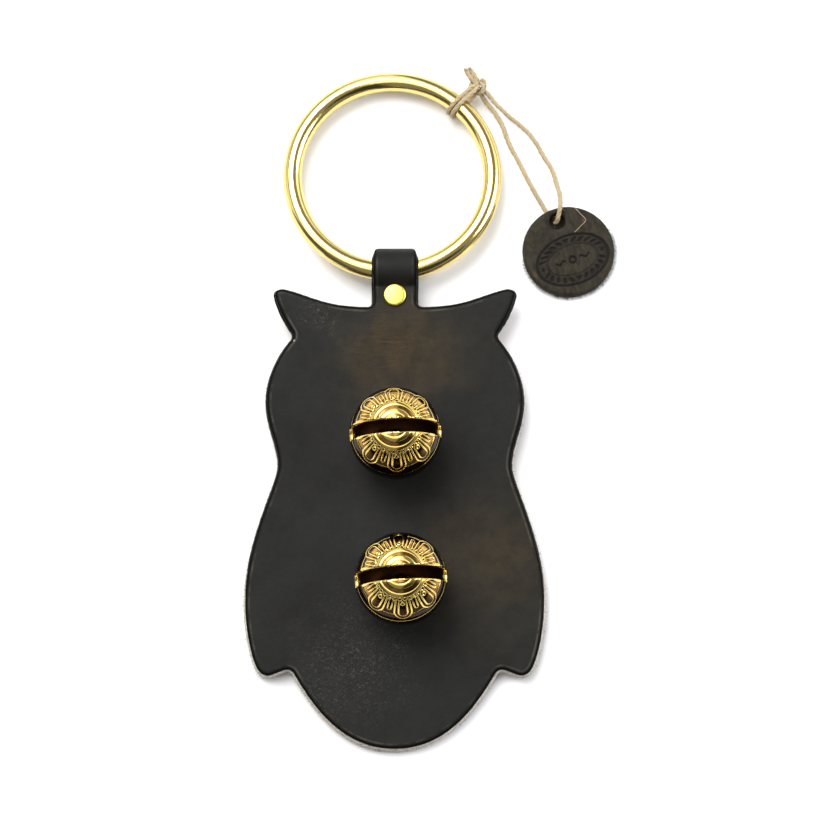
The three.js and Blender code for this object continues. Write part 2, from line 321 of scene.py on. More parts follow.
# ---- material helpers ----
class Tree:
    """Short calls that add nodes to a node tree and link or set what feeds them."""

    def __init__(self, tree):
        self.nodes, self.links = tree.nodes, tree.links

    def node(self, kind, inputs=None, **settings):
        made = self.nodes.new(kind)
        for key, value in settings.items():
            setattr(made, key, value)
        for key, value in (inputs or {}).items():
            self.feed(made.inputs[key], value)
        return made

    def feed(self, socket, value):
        if isinstance(value, bpy.types.NodeSocket):
            self.links.new(value, socket)
        else:
            socket.default_value = value

    def math(self, operation, *values):
        return self.node("ShaderNodeMath", dict(enumerate(values)), operation=operation).outputs[0]

    def times(self, a, b):
        return self.math("MULTIPLY", a, b)

    def plus(self, a, b):
        return self.math("ADD", a, b)

    def most(self, a, b):
        return self.math("MAXIMUM", a, b)

    def mix(self, amount, a, b, blend="MIX"):
        inputs = {"Factor": amount, 6: a, 7: b}
        return self.node("ShaderNodeMix", inputs, data_type="RGBA", blend_type=blend).outputs[2]


class Shader(Tree):
    """A node material with one Principled shader."""

    def __init__(self, name, **values):
        self.material = bpy.data.materials.new(name)
        self.material.use_nodes = True
        super().__init__(self.material.node_tree)
        self.surface = self.nodes["Principled BSDF"]
        self.use(**values)

    def use(self, **sockets):
        for socket, value in sockets.items():
            self.feed(self.surface.inputs[socket.replace("_", " ")], value)

    def attribute(self, name, output="Fac"):
        return self.node("ShaderNodeAttribute", attribute_name=name).outputs[output]

    def place_in(self):
        return self.node("ShaderNodeTexCoord").outputs["Object"]

    def scaled(self, vector, scale):
        return self.node("ShaderNodeVectorMath", {0: vector, 1: scale}, operation="MULTIPLY").outputs[0]

    def noise(self, vector, scale, detail=3.0, rough=0.5, distortion=0.0):
        return self.node("ShaderNodeTexNoise", {
            "Vector": vector, "Scale": scale, "Detail": detail, "Roughness": rough,
            "Distortion": distortion}).outputs["Fac"]

    def cells(self, vector, scale, feature="F1"):
        return self.node("ShaderNodeTexVoronoi", {"Vector": vector, "Scale": scale},
                         feature=feature).outputs["Distance"]

    def fit(self, value, low, high, out_low=0.0, out_high=1.0):
        """Eases from out_low where the value is low to out_high where it is high."""
        return self.node("ShaderNodeMapRange", {
            "Value": value, "From Min": low, "From Max": high, "To Min": out_low, "To Max": out_high},
            interpolation_type="SMOOTHSTEP").outputs["Result"]

    def bump(self, height, strength, distance, normal=None):
        inputs = {"Height": height, "Strength": strength, "Distance": distance}
        if normal is not None:
            inputs["Normal"] = normal
        return self.node("ShaderNodeBump", inputs).outputs["Normal"]


def rgb(r, g, b):
    """A colour from its sRGB values, 0 to 255."""
    def linear(c):
        c /= 255
        return c / 12.92 if c <= 0.04045 else ((c + 0.055) / 1.055) ** 2.4
    return (linear(r), linear(g), linear(b), 1.0)


def darker(colour, share):
    return tuple(c * share for c in colour[:3]) + (1,)


# ---- materials ----
def black_leather():
    s = Shader("black leather")
    flat, raw, edge = s.attribute("flat", "Vector"), s.attribute("raw"), s.attribute("edge")

    def patch(x, y, reach):
        """1 at a place on the flat leather, fading unevenly to 0 at its reach."""
        away = s.node("ShaderNodeVectorMath", {0: flat, 1: (x, y, LEATHER)}, operation="DISTANCE")
        ragged = s.plus(away.outputs["Value"], s.fit(s.noise(flat, 0.07, 4), 0.2, 0.8, -8, 8))
        return s.fit(ragged, reach, 0.0)

    # dyed grain side: charcoal, browner in soft patches that are partly the leather's tone and partly painted
    # sheen, scuffed by the tail and the left ear
    brown_tone_and_sheen = s.most(patch(2, 21, 38), s.times(patch(40, -66, 46), 0.6))
    dyed = s.mix(brown_tone_and_sheen, rgb(29, 29, 27), rgb(58, 48, 32))
    dyed = s.mix(s.fit(s.noise(flat, 0.16, 5, 0.6), 0.35, 0.75, 0, 0.5), dyed, rgb(20, 20, 18))
    scuffs = s.most(patch(-18, -108, 36), patch(-32, 40, 15))
    fine = s.fit(s.noise(s.scaled(flat, (1.0, 1.5, 1)), 0.8, 6, 0.8, 1.5), 0.50, 0.74)
    rubbed = s.times(fine, s.plus(s.times(scuffs, 0.85), 0.06))
    dyed = s.mix(rubbed, dyed, rgb(104, 101, 96))
    specks = s.math("LESS_THAN", s.cells(flat, 0.062), 0.026)
    dyed = s.mix(s.times(specks, 0.7), dyed, rgb(176, 172, 160))
    pits = s.math("LESS_THAN", s.cells(flat, 0.30), 0.07)
    dyed = s.mix(s.times(pits, s.times(patch(-6, 27, 12), 0.8)), dyed, rgb(12, 11, 10))
    # the rounded edge is burnished black, with a grey line inside it that is a painted highlight where the
    # bevel starts
    dyed = s.mix(s.fit(edge, 1.9, 1.3), dyed, rgb(8, 8, 7))
    bevel_highlight = s.times(s.fit(edge, 1.9, 2.3), s.fit(edge, 3.1, 2.6))
    bevel_highlight = s.times(bevel_highlight, s.fit(s.noise(flat, 0.06, 4, 0.7), 0.42, 0.66, 0.0, 0.34))
    dyed = s.mix(bevel_highlight, dyed, rgb(104, 101, 92))
    # raw edge and flesh side: pale fibres with darker dye that crept in
    fibres = s.noise(s.scaled(flat, (1, 1, 0.35)), 1.8, 5, 0.75)
    bare = s.mix(s.fit(fibres, 0.3, 0.7), rgb(176, 168, 154), rgb(236, 231, 220))
    bare = s.mix(s.fit(s.noise(flat, 0.5, 5, 0.7), 0.5, 0.8, 0, 0.6), bare, rgb(70, 65, 58))
    height = s.node("ShaderNodeSeparateXYZ", {"Vector": flat}).outputs["Z"]
    flesh = s.mix(fibres, rgb(112, 88, 62), rgb(178, 150, 116))
    bare = s.mix(s.fit(height, 0.25, 0.05), bare, flesh)
    s.use(Base_Color=s.mix(raw, dyed, bare))
    sheen = s.fit(s.noise(flat, 0.05, 4, 0.55), 0.35, 0.7, 0.46, 0.60)
    s.use(Roughness=s.plus(sheen, s.times(raw, 0.35)))
    s.use(Specular_IOR_Level=s.fit(edge, 1.6, 3.0, 0.03, 0.12))
    pores = s.fit(s.cells(flat, 1.6, "SMOOTH_F1"), 0.0, 0.45)
    grain = s.plus(s.times(pores, 0.4), s.noise(flat, 2.4, 4, 0.6))
    creases = s.noise(s.scaled(flat, (1.0, 1.8, 1)), 0.22, 4, 0.6, 1.2)
    normal = s.bump(grain, 0.2, 0.0001)
    normal = s.bump(s.times(fine, scuffs), 0.35, 0.0003, normal)
    normal = s.bump(creases, 0.16, 0.0006, normal)
    wrinkles = s.noise(s.scaled(flat, (0.3, 1.6, 1)), 0.5, 4, 0.6, 0.8)
    normal = s.bump(s.times(wrinkles, patch(-3, 25, 24)), 0.45, 0.0012, normal)
    fuzz = s.times(s.noise(flat, 3.5, 5, 0.8), raw)
    s.use(Normal=s.bump(fuzz, 0.9, 0.0005, normal))
    return s.material


def polished_brass(name, colour, roughness, ripple=0.1):
    s = Shader(name, Metallic=1.0)
    at = s.place_in()
    tone = s.noise(at, 60, 3)
    s.use(Base_Color=s.mix(s.fit(tone, 0.3, 0.7), colour, darker(colour, 0.93)))
    wear = s.noise(at, 900, 4, 0.7)
    s.use(Roughness=s.fit(wear, 0.3, 0.8, roughness * 0.8, roughness * 1.6))
    waves = s.bump(s.noise(at, 140, 2), ripple, 0.0004)
    s.use(Normal=s.bump(s.noise(at, 1300, 3, 0.6), ripple * 2, 0.00005, waves))
    return s.material


def bell_brass():
    s = Shader("bell brass", Metallic=1.0)
    at, gold, inside, dusk = s.place_in(), s.attribute("gold"), s.attribute("inside"), s.attribute("dusk")
    tone = s.noise(at, 120, 4, 0.6)
    bright = s.mix(s.fit(tone, 0.35, 0.7), rgb(250, 220, 128), rgb(240, 198, 108))
    ground = s.mix(s.fit(s.noise(at, 420, 4, 0.7), 0.35, 0.7), rgb(222, 178, 98), rgb(158, 112, 62))
    # painted reflection: the ground darkens to this where it would mirror the dark leather and the dark side
    # of the room, and also in the creases beside the raised lines
    reflection_and_crease_dark = s.mix(s.noise(at, 260, 4, 0.6), rgb(36, 25, 14), rgb(15, 10, 6))
    ground = s.mix(s.times(dusk, 0.97), ground, reflection_and_crease_dark)
    outside = s.mix(s.fit(gold, 0.05, 0.5), ground, bright)
    tarnish = s.mix(s.noise(at, 300, 4, 0.6), rgb(116, 74, 42), rgb(72, 45, 26))
    s.use(Base_Color=s.mix(s.fit(inside, 0.25, 0.9), outside, tarnish))
    polish = s.fit(s.noise(at, 1500, 4, 0.7), 0.3, 0.8, 0.07, 0.17)
    s.use(Roughness=s.plus(polish, s.times(inside, 0.4)))
    s.use(Normal=s.bump(s.noise(at, 700, 4, 0.6), 0.2, 0.00015))
    return s.material


def steel(name, roughness):
    s = Shader(name, Metallic=1.0)
    at = s.place_in()
    s.use(Base_Color=s.mix(s.noise(at, 300, 4, 0.6), rgb(150, 152, 156), rgb(108, 109, 112)))
    s.use(Roughness=s.fit(s.noise(at, 1400, 4, 0.7), 0.3, 0.8, roughness * 0.7, roughness * 1.5))
    s.use(Normal=s.bump(s.noise(at, 1100, 3), 0.2, 0.0002))
    return s.material


def jute():
    s = Shader("jute", Roughness=0.9, Specular_IOR_Level=0.2)
    at, strand = s.place_in(), s.attribute("strand", "Vector")
    lines = s.noise(s.scaled(strand, (1.0, 0.12, 1)), 9.0, 4, 0.7)
    colour = s.mix(s.fit(lines, 0.3, 0.7), rgb(158, 136, 100), rgb(222, 206, 172))
    colour = s.mix(s.fit(s.noise(at, 160, 3), 0.45, 0.7, 0, 0.6), colour, rgb(176, 158, 124))
    s.use(Base_Color=colour)
    s.use(Normal=s.bump(lines, 0.8, 0.0003))
    return s.material


def tag_leather():
    s = Shader("tag leather", Specular_IOR_Level=0.14)
    flat, raw, pressed = s.attribute("flat", "Vector"), s.attribute("raw"), s.attribute("pressed")
    streaks = s.noise(s.scaled(flat, (1.0, 0.5, 1)), 0.5, 5, 0.65)
    colour = s.mix(s.fit(streaks, 0.3, 0.72), rgb(29, 26, 19), rgb(56, 50, 37))
    colour = s.mix(s.fit(s.noise(flat, 0.14, 3), 0.45, 0.72, 0, 0.6), colour, rgb(50, 47, 40))
    tan = s.fit(s.noise(s.scaled(flat, (1.0, 0.22, 1)), 0.32, 5, 0.7), 0.60, 0.80, 0, 0.6)
    colour = s.mix(tan, colour, rgb(112, 94, 64))
    colour = s.mix(s.times(pressed, 0.9), colour, rgb(8, 7, 6))
    bare = s.mix(s.fit(s.noise(flat, 2.5, 5, 0.75), 0.3, 0.7), rgb(26, 24, 22), rgb(66, 58, 48))
    s.use(Base_Color=s.mix(raw, colour, bare))
    s.use(Roughness=s.fit(s.noise(flat, 0.9, 4, 0.6), 0.3, 0.7, 0.45, 0.68))
    grain = s.plus(s.noise(flat, 3.0, 5, 0.7), s.times(streaks, 0.8))
    fuzz = s.times(raw, s.noise(flat, 6.0, 4, 0.8))
    s.use(Normal=s.bump(s.plus(grain, fuzz), 0.45, 0.0003))
    return s.material


def plain_fibre(name, colour):
    s = Shader(name, Roughness=0.85, Specular_IOR_Level=0.2)
    s.use(Base_Color=s.mix(s.noise(s.place_in(), 700, 2), colour, darker(colour, 0.7)))
    return s.material


LEATHER_MATERIAL = black_leather()
RING_MATERIAL = polished_brass("ring brass", rgb(242, 219, 142), roughness=0.11, ripple=0.24)
RIVET_MATERIAL = polished_brass("rivet brass", rgb(255, 236, 112), roughness=0.34)
BELL_MATERIAL = bell_brass()
SCREW_MATERIAL = steel("screw steel", roughness=0.28)
CLAPPER_MATERIAL = steel("clapper steel", roughness=0.22)
JUTE_MATERIAL = jute()
TAG_MATERIAL = tag_leather()


# ---- jute ----
PLIES = 3
PLY_R = 0.56
PLY_OFFSET = 0.44
PLY_SIDES = 8
TWIST = 7.5  # length of one full turn of the plies
TWINE_STEP = 0.45
HAIR_POINTS = 6


def hair_run():
    """0 to 1 along a hair's points, as a column."""
    return np.linspace(0, 1, HAIR_POINTS)[:, None]


def hair_radius(root, tip):
    return np.linspace(root, tip, HAIR_POINTS)


def twine(line, fuzz, size=1.0):
    """Twisted plies along a line, with fuzz stray fibres a millimetre; also each point's place on its ply."""
    built, strands = Builder(), []
    u, v = frames_along(line)
    along = run_of(line)
    for k in range(PLIES):
        angle = 2 * pi * (along / TWIST + k / PLIES)
        reach = PLY_OFFSET * size * (1 + 0.10 * np.sin(along * 1.7 + k))
        centre = line + reach[:, None] * (np.cos(angle)[:, None] * u + np.sin(angle)[:, None] * v)
        lumps = np.array([noise.noise(Vector((a * 0.9, k * 7.3, 1.5))) for a in along])
        built.add(*tube(centre, PLY_R * size * (1 + 0.22 * lumps), PLY_SIDES))
        turn = np.tile(np.arange(PLY_SIDES), len(line))
        strands.append(np.stack([turn * 0.8 + k * 9, np.repeat(along, PLY_SIDES), np.full(len(turn), k)], 1))
    for _ in range(int(fuzz * along[-1])):
        i = rng.integers(1, len(line) - 2)
        angle, lift = rng.uniform(0, 2 * pi), rng.uniform(0.2, 1.1)
        out = cos(angle) * u[i] + sin(angle) * v[i]
        way = (line[i + 1] - line[i - 1]) * rng.choice((-1, 1))
        way /= np.linalg.norm(way)
        length = rng.uniform(0.8, 2.6)
        root = line[i] + out * (PLY_OFFSET + PLY_R) * 0.8 * size
        bend = rng.normal(0, 0.35, 3)
        t = hair_run()
        hair = root + way * length * t + out * lift * t ** 1.5 + bend * t ** 2 * 0.6
        hair[:, 2] = np.maximum(hair[:, 2], root[2] - 0.5)
        points, faces = tube(hair, hair_radius(0.045, 0.02), 3)
        built.add(points, faces)
        strands.append(np.stack([np.full(len(points), rng.uniform(0, 30)),
                                 np.linspace(0, length, len(points)), np.zeros(len(points))], 1))
    return built, np.concatenate(strands)


def tag_cord():
    line = smoothed(CORD_ROUTE / MM, TWINE_STEP)
    built, strands = twine(line, fuzz=2.6)
    points = built.all_points()
    points[:, 2] = np.maximum(points[:, 2], 0.02)  # just above the floor
    cord = add_mesh("jute_cord", points, built.faces, JUTE_MATERIAL)
    set_values(cord, strand=strands)
    place(cord, "cord", "jute", "tag_cord")
    return cord, line * MM, float(steps_of(line).sum()) * MM


def frayed(end, way, count, spread, length):
    """Loose fibres that leave a cord's cut end."""
    built = Builder()
    way = way / np.linalg.norm(way)
    for _ in range(count):
        root = end + rng.normal(0, 0.45, 3) * (1 - abs(way) * 0.5)
        tilt = way + rng.normal(0, spread, 3)
        reach = rng.uniform(0.5, 1) * length
        t = hair_run()
        hair = root - way * 1.2 + (tilt * reach + way * 1.2) * t + rng.normal(0, 0.3, 3) * t ** 2
        built.add(*tube(hair, hair_radius(0.075, 0.03), 4))
    return built


def cord_knot():
    """Two turns of cord round the ring's wire, an overhand knot outside it and two cut tails."""
    reach = WIRE_R + CORD_R + 0.12
    knot = np.array((KNOT_REACH, 0, 0.2))
    turns = []
    for side in (-1, 1):
        turn = [knot + (-0.6, 0.5 * side, 1.6), (KNOT_REACH - 3.4, 0.95 * side, 3.4)]
        for degrees in range(62, 300, 20):
            a = radians(degrees)
            turn.append((reach * cos(a), 1.05 * side + 0.5 * sin(a * 0.5), reach * sin(a)))
        turns.append([*turn, (KNOT_REACH - 3.6, 0.9 * side, -2.6), knot + (-0.6, 0.5 * side, -1.2)])
    around = []
    for t in np.linspace(0.35, 2 * pi + 0.15, 40):
        radius = 2.25 + 0.85 * cos(3 * t)
        around.append(knot + (radius * cos(2 * t), radius * sin(2 * t), 1.3 * sin(3 * t)))
    tails = [[knot + (0, 0.4, 0.6), knot + middle, knot + end]
             for middle, end in (((0.0, 3.8, 1.5), (1.0, 7.4, 1.2)), ((1.8, 3.4, 1.2), (3.0, 6.7, 0.6)))]
    built, strands = Builder(), []
    for path, is_tail in [*((turn, False) for turn in (*turns, around)), *((tail, True) for tail in tails)]:
        line = smoothed(path, TWINE_STEP)
        part, on_ply = twine(line, fuzz=1.6, size=1.12 if is_tail else 1.0)
        built.add(part.all_points(), part.faces)
        strands.append(on_ply)
        if is_tail:
            loose = frayed(line[-1], line[-1] - line[-4], count=90, spread=0.15, length=2.0)
            built.add(loose.all_points(), loose.faces)
            strands.append(rng.uniform(0, 20, (loose.count, 3)))
    wisp = smoothed([knot + (3.6, 6.4, 0.8), knot + (5.8, 8.4, 1.0), knot + (6.9, 10.6, 0.6)], 0.5)
    points, faces = tube(wisp, 0.06, 4)
    built.add(points, faces)
    strands.append(rng.uniform(0, 20, (len(points), 3)))
    piece = add_mesh("jute_knot", built.all_points(), built.faces, JUTE_MATERIAL, TIE)
    set_values(piece, strand=np.concatenate(strands))
    place(piece, "tie", "jute", "cord_knot")
    return piece


cord_piece, cord_line, cord_length = tag_cord()
knot_piece = cord_knot()


# ---- leather hanger ----
# the plate's right half from the strap down to the tail, as Bezier pieces without their start points
OWL_HALF = [
    [(9.7, 43.4)],
    [(9.75, 41.8), (11.8, 41.7)],  # neck into the top of the head
    [(30, 42.2), (33, 45.8), (45.8, 49.3)],  # rise to the ear
    [(48.9, 49.9), (51.6, 48.2), (50.8, 45.6)],  # ear's tip
    [(49.9, 41.8), (47.9, 36.9), (43.5, 29.8)],  # ear's outer side
    [(42.9, 28.6), (43.7, 27.6)],  # notch under the ear
    [(49.5, 20.7), (54.1, 11), (54.1, 1)],  # head
    [(54.1, -9.5), (48.9, -17.8), (48.9, -26.2)],  # in to the waist
    [(48.9, -33.4), (62.4, -57.6), (62.4, -83.4)],  # wing
    [(62.4, -95.6), (59.2, -109.4), (56.3, -112.6)],
    [(54.9, -114.4), (52.4, -115.3), (50.2, -114.4)],  # wing's tip
    [(45.2, -112.5)],
    [(43.3, -111.8), (42.2, -113.3)],  # notch above the tail
    [(34.4, -126.4), (22.5, -144.9), (0, -144.9)],  # tail
]
STRAP_START = 49.5  # where the strap leaves the plate's plane
OUTLINE_STEP = 0.8
ROW_STEP = 0.866  # between a triangular grid's rows, for points 1 apart
# the cut edge from its upper side ring down and under: (inset from the outline, height)
EDGE_PROFILE = [(1.15, 3.72), (1.02, 3.45), (0.92, 3.1), (0.78, 2.6), (0.60, 2.1), (0.42, 1.6),
                (0.24, 1.1), (0.10, 0.65), (0.10, 0.32), (0.30, 0.10), (0.65, 0.0)]
TOP_ROUND = 2.7  # inset at which the top face is level


def drawn(start, pieces):
    """A dense polyline along Bezier pieces, without its first point."""
    at, out = np.array(start, float), []
    for corners in pieces:
        corners = [at, *(np.array(c, float) for c in corners)]
        for t in np.linspace(0, 1, 60)[1:]:
            p = corners
            while len(p) > 1:
                p = [(1 - t) * a + t * b for a, b in zip(p, p[1:])]
            out.append(p[0])
        at = corners[-1]
    return np.array(out)


def strap_middle():
    """Middle of the strap's thickness, [y, z], from the plate over the ring and back under it."""
    top = LEATHER / 2
    bottom = -0.3 - LEATHER / 2
    crest = FOLD_Z + FOLD_MID_R
    low = FOLD_Z - FOLD_MID_R
    rise = drawn((STRAP_START, top), [[(52.9, top), (52.3, crest), (FOLD_Y, crest)]])
    a = np.linspace(pi / 2, -pi / 2, 60)[1:]
    arc = (FOLD_Y, FOLD_Z) + circle(FOLD_MID_R, a)
    fall = drawn((FOLD_Y, low), [[(52.3, low), (52.9, bottom), (STRAP_START, bottom)]])
    line = np.concatenate([[[STRAP_START, top]], rise, arc, fall, [[TAB_END_Y, bottom]]])
    return spaced(line, 0.1)


STRAP_LINE = strap_middle()
STRAP_ALONG = run_of(STRAP_LINE)
STRAP_END = STRAP_START + STRAP_ALONG[-1]
STRAP_APEX = STRAP_START + STRAP_ALONG[np.argmax(STRAP_LINE[:, 0])]


def bent(points):
    """Bends flat leather, (x, distance along, height), round the ring past the strap's start."""
    points = np.array(points, float)
    past = points[:, 1] > STRAP_START
    s = points[past, 1] - STRAP_START
    y, z = (np.interp(s, STRAP_ALONG, STRAP_LINE[:, k]) for k in (0, 1))
    slope = units(np.gradient(STRAP_LINE, axis=0))
    ty, tz = (np.interp(s, STRAP_ALONG, slope[:, k]) for k in (0, 1))
    up = points[past, 2] - LEATHER / 2
    points[past, 1] = y - tz * up
    points[past, 2] = z + ty * up
    return points


def strap_half_width(s):
    """Half the strap's width: the leather spreads a little past the rivet and draws in over the ring."""
    spread = 0.2 * np.clip((s - RIVET_Y) / 4.0, 0, 1)
    crest = 0.6 * np.exp(-((s - STRAP_APEX) / 4.0) ** 2)
    return STRAP_WIDTH / 2 + spread - crest


def hanger_outline():
    """The flat leather's outline, anticlockwise, evenly spaced."""
    corner = 2.2
    s = np.arange(STRAP_END - corner, RIVET_Y, -0.5)
    a = np.linspace(pi / 2, 0, 8)[:-1]
    x = STRAP_WIDTH / 2 - corner
    tab = (x, STRAP_END - corner) + circle(corner, a)
    strap = np.stack([strap_half_width(s), s], 1)
    owl = drawn((STRAP_WIDTH / 2, RIVET_Y), OWL_HALF)
    right = np.concatenate([tab, strap, owl])
    loop = np.concatenate([right[:-1] * (-1, 1), right[::-1]])
    return spaced(np.concatenate([loop, loop[:1]]), OUTLINE_STEP)[:-1]


def inward_of(loop):
    """The direction into an anticlockwise loop at each of its points."""
    along = units(np.roll(loop, -1, axis=0) - np.roll(loop, 1, axis=0))
    return np.stack([-along[:, 1], along[:, 0]], 1)


def distance_to(loop, points):
    """Distance of each point from a closed polyline."""
    a, b = loop, np.roll(loop, -1, axis=0)
    d = b - a
    long = (d * d).sum(1)
    out = np.empty(len(points))
    for i in range(0, len(points), 400):
        p = points[i:i + 400, None]
        t = np.clip(((p - a) * d).sum(2) / long, 0, 1)
        out[i:i + 400] = np.linalg.norm(p - a - t[..., None] * d, axis=2).min(1)
    return out


def grid_in(loop, step, margin):
    """A triangular grid of points that lie inside a loop by more than a margin, and their distances."""
    low, high = loop.min(0), loop.max(0)
    rows = []
    for i, y in enumerate(np.arange(low[1], high[1], step * ROW_STEP)):
        rows.append(at_height(np.arange(low[0] + i % 2 * step / 2, high[0], step), y))
    points = np.concatenate(rows)
    points = points[inside_of(loop, points)]
    far = distance_to(loop, points)
    return points[far > margin], far[far > margin]


def inside_of(loop, points):
    """Which points a closed polyline holds, by how often a line to the right crosses it."""
    a, b = loop, np.roll(loop, -1, axis=0)
    crossed = np.zeros(len(points), bool)
    for p, q in zip(a, b):
        if p[1] == q[1]:
            continue
        spans = (p[1] > points[:, 1]) != (q[1] > points[:, 1])
        crossed ^= spans & (points[:, 0] < (q[0] - p[0]) * (points[:, 1] - p[1]) / (q[1] - p[1]) + p[0])
    return crossed


def filled(loops, points):
    """Triangles that fill the first loop through the inner points, and leave the other loops open."""
    flat, edges = [], []
    for loop in loops:
        n, first = len(loop), len(flat)
        flat.extend(loop)
        edges.extend((first + i, first + (i + 1) % n) for i in range(n))
    hole = range(len(loops[0]), len(flat))
    flat.extend(points)
    _, _, faces, origin, _, _ = geometry.delaunay_2d_cdt([Vector(p) for p in flat], edges, [], 1, 1e-6)
    faces = [tuple(origin[i][0] for i in f) for f in faces]
    return [f for f in faces if not all(i in hole for i in f)]


def roughness_of(outline, height, coarse, fine, share):
    """Two octaves of noise along an edge; coarse and fine each hold a scale along it and one upwards."""
    return np.array([sum(part * noise.noise(Vector((x * across, y * across, height * up)))
                         for part, (across, up) in ((1, coarse), (share, fine))) for x, y in outline])


def plate_sway(x, y):
    """How far the plate lies off flat: a slow waviness that fades out at the fittings."""
    sway = np.array([noise.noise(Vector((a * 0.018, b * 0.016, 3.1))) for a, b in zip(x, y)]) * 0.5
    for bx, by, _ in BELLS.values():
        sway *= 1 - np.exp(-((np.hypot(x - bx, y - by) / 22) ** 4))
    return sway * np.clip((38 - y) / 25, 0, 1)


def leather_hanger():
    outline = hanger_outline()
    inward = inward_of(outline)
    n = len(outline)
    rings, raw, edge = [], [], []
    for k, (inset, height) in enumerate(EDGE_PROFILE):
        rough = 0.10 * min(1, k / 4)
        wobble = roughness_of(outline, height, (0.9, 1.3), (3.1, 3), 0.6)
        rings.append(at_height(outline + inward * (inset + rough * wobble)[:, None], height))
        tail = np.clip((-66 - outline[:, 1]) / 18, 0, 1)
        neck = np.clip((outline[:, 1] - 30) / 8, 0, 1)
        dye = 1.4 + 1.6 * tail - neck + 0.25 * wobble
        raw.append(np.clip((dye - height) / 0.35, 0, 1))
        edge.append(np.full(n, inset))
    faces = flipped(ring_faces(len(rings), n))
    side = np.concatenate(rings)
    # top face: rounded over near its edge, level inside
    rounds = []
    for inset in (1.4, 1.75, 2.15, 2.6, 3.1):
        loop = outline + inward * inset
        rounds.append(loop[distance_to(outline, loop) > inset * 0.96])
    inner, _ = grid_in(outline, step=1.35, margin=3.7)
    inner = np.concatenate([*rounds, inner])
    far = distance_to(outline, inner)
    depth = np.clip((TOP_ROUND - far) / (TOP_ROUND - EDGE_PROFILE[0][0]), 0, 1)
    height = LEATHER - (LEATHER - EDGE_PROFILE[0][1]) * depth ** 2.2
    top = np.column_stack([inner, height])
    faces += renumbered(filled([rings[0][:, :2]], inner), (0, n), (len(side), len(top)))
    # flesh side
    under, under_far = grid_in(outline, step=2.2, margin=1.7)
    found = filled([rings[-1][:, :2]], under)
    faces += flipped(renumbered(found, (len(side) - n, n), (len(side) + len(top), len(under))))
    points = np.concatenate([side, top, at_height(under, 0)])
    flat = points.copy()
    rivet = np.hypot(points[:, 0], points[:, 1] - RIVET_Y)
    pinch = 0.35 * np.exp(-((rivet / 6.5) ** 2))
    points[:, 2] += plate_sway(points[:, 0], points[:, 1]) - pinch * (points[:, 2] > 2)
    piece = add_mesh("owl_leather", bent(points), faces, LEATHER_MATERIAL, PLATE)
    set_values(piece, flat=flat, raw=np.concatenate([*raw, np.zeros(len(top)), np.ones(len(under))]),
               edge=np.concatenate([*edge, far, under_far]))
    place(piece, "hanger", "black_leather", "leather_hanger")
    return outline, inward


hanger_loop, hanger_inward = leather_hanger()


def edge_fibres(loop, inward, matrix, name, body, slot, count, height, reach, chosen):
    """Short hairs that stand out of a cut leather edge."""
    built = Builder()
    for i in rng.choice(np.flatnonzero(chosen), count):
        out = np.array((*-inward[i], 0.0))
        along = np.array((-out[1], out[0], 0.0))
        z = rng.uniform(*height)
        root = np.array((*(loop[i] + inward[i] * 0.5), z))
        length = rng.uniform(0.4, 1) * reach
        tip = out * length + along * rng.normal(0, 0.5) * length + np.array((0, 0, rng.normal(0, 0.15)))
        t = np.linspace(0, 1, 5)[:, None]
        hair = root + (tip + out * 0.5) * t + along * rng.normal(0, 0.3) * t ** 2
        built.add(*tube(hair, np.linspace(0.06, 0.025, 5), 3))
    piece = add_mesh(name, built.all_points(), built.faces, plain_fibre(name, rgb(58, 54, 48)), matrix)
    place(piece, body, slot)


on_plate = hanger_loop[:, 1] < 28
edge_fibres(hanger_loop, hanger_inward, PLATE, "leather_fibres", "hanger", "black_leather",
            count=190, height=(0.5, 3.0), reach=0.9, chosen=on_plate)


# ---- ring ----
def door_ring():
    around, across = 288, 40
    a, b = (m.ravel() for m in np.meshgrid(round_angles(around), round_angles(across), indexing="ij"))
    points = np.column_stack([circle(RING_R + WIRE_R * np.cos(b), a), WIRE_R * np.sin(b)])
    faces = flipped(ring_faces(around, across, closed_rings=True))
    piece = add_mesh("brass_ring", points, faces, RING_MATERIAL, RING)
    place(piece, "ring", "polished_brass", "door_ring")


door_ring()


# ---- rivet, screws, washers, clappers ----
def rounded(corners, radius):
    """A (radius, z) profile with its corners rounded, its first and last points kept."""
    corners = [np.array(c, float) for c in corners]
    out = [corners[0]]
    for a, b, c in zip(corners, corners[1:], corners[2:]):
        to_a, to_c = a - b, c - b
        cut = min(radius, np.linalg.norm(to_a) * 0.45, np.linalg.norm(to_c) * 0.45)
        p, q = b + to_a / np.linalg.norm(to_a) * cut, b + to_c / np.linalg.norm(to_c) * cut
        for t in np.linspace(0, 1, 5):
            out.append((1 - t) ** 2 * p + 2 * t * (1 - t) * b + t * t * q)
    return [*out, corners[-1]]


def rivet():
    z = LEATHER - 0.25
    crown = [(r, z + 1.75 - 0.26 * (r / RIVET_CAP_R) ** 2) for r in (3.9, 3.2, 2.4, 1.6, 0.8)]
    profile = [(0, z), *rounded([(0.4, z), (RIVET_CAP_R, z), (RIVET_CAP_R, z + 1.3), crown[0]], 0.5)[1:-1],
               *crown, (0, z + 1.75)]
    at = PLATE @ shift((0, RIVET_Y, 0))
    cap = turned_piece("brass_rivet_cap", profile, 72, RIVET_MATERIAL, at)
    place(cap, "hanger", "brass", "rivet_cap")
    back = -0.6 - LEATHER
    head = rounded([(0, back - 1.0), (RIVET_CAP_R * 0.62, back - 1.0), (RIVET_CAP_R * 0.95, back - 0.45),
                    (RIVET_CAP_R * 0.95, back + 0.3), (1.6, back + 0.3), (1.6, LEATHER + 0.9),
                    (0, LEATHER + 0.9)], 0.5)
    post = turned_piece("brass_rivet_post", head, 72, RIVET_MATERIAL, at)
    place(post, "hanger", "brass", "rivet_post")


rivet()


